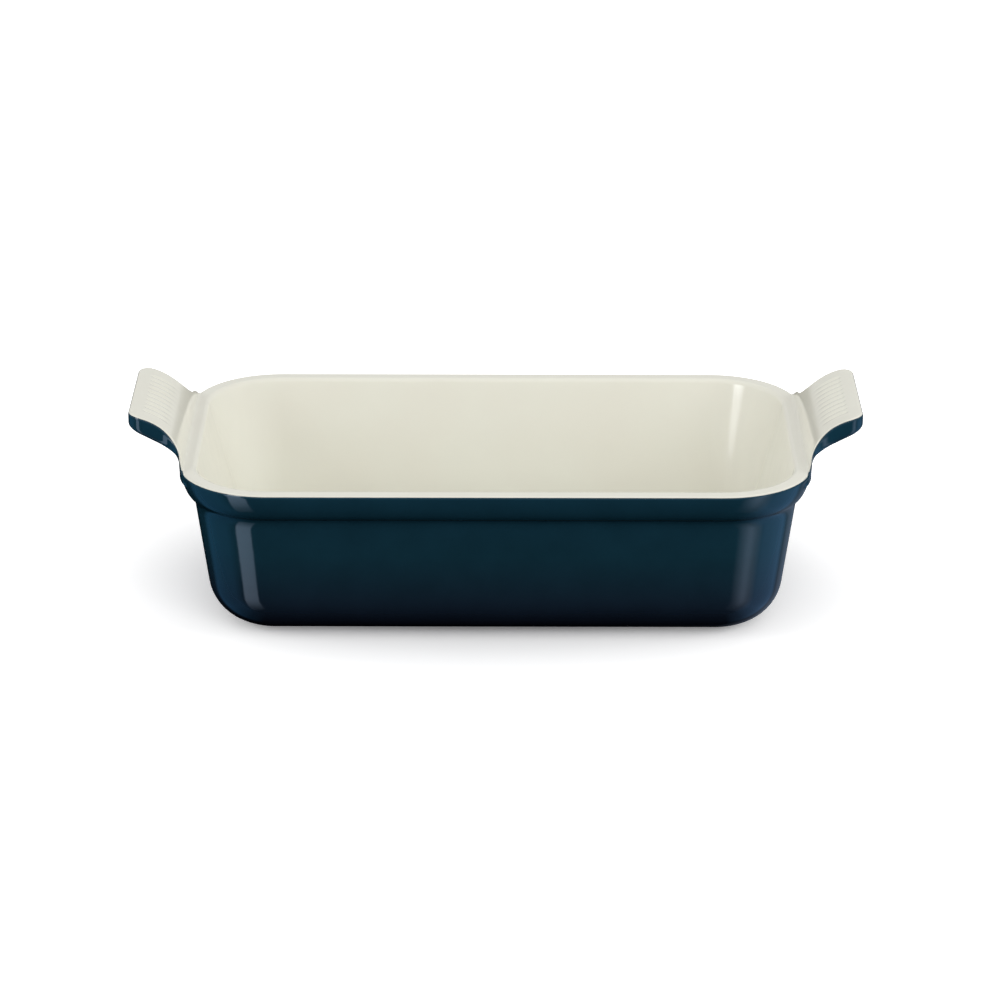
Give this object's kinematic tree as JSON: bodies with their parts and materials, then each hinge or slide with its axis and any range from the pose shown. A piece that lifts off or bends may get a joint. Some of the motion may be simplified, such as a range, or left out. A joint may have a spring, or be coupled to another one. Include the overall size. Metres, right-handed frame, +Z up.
{
  "type": "loaf pan",
  "caption": "Rectangular glazed stoneware loaf pan with tapered walls, a projecting rim collar and ribbed ear handles flared up from both short ends.",
  "frame": {"origin": "centre of the pan's outline, on the plane that its foot ring stands on", "axes": "+Z up out of the basin, +X along the length towards one ear handle, -Y towards the front long wall"},
  "size_m": [0.31, 0.1516, 0.0895],
  "materials": {
    "bare_stoneware": "bare fired clay, matt and finely grained",
    "blue_glaze": "dark teal-blue glaze, high gloss",
    "cream_glaze": "warm cream glaze, glossy"
  },
  "bodies": {
    "root": {"stoneware_body": "bare_stoneware", "outer_glaze": "blue_glaze", "inner_glaze": "cream_glaze", "base_glaze": "blue_glaze"}
  },
  "joints": []
}
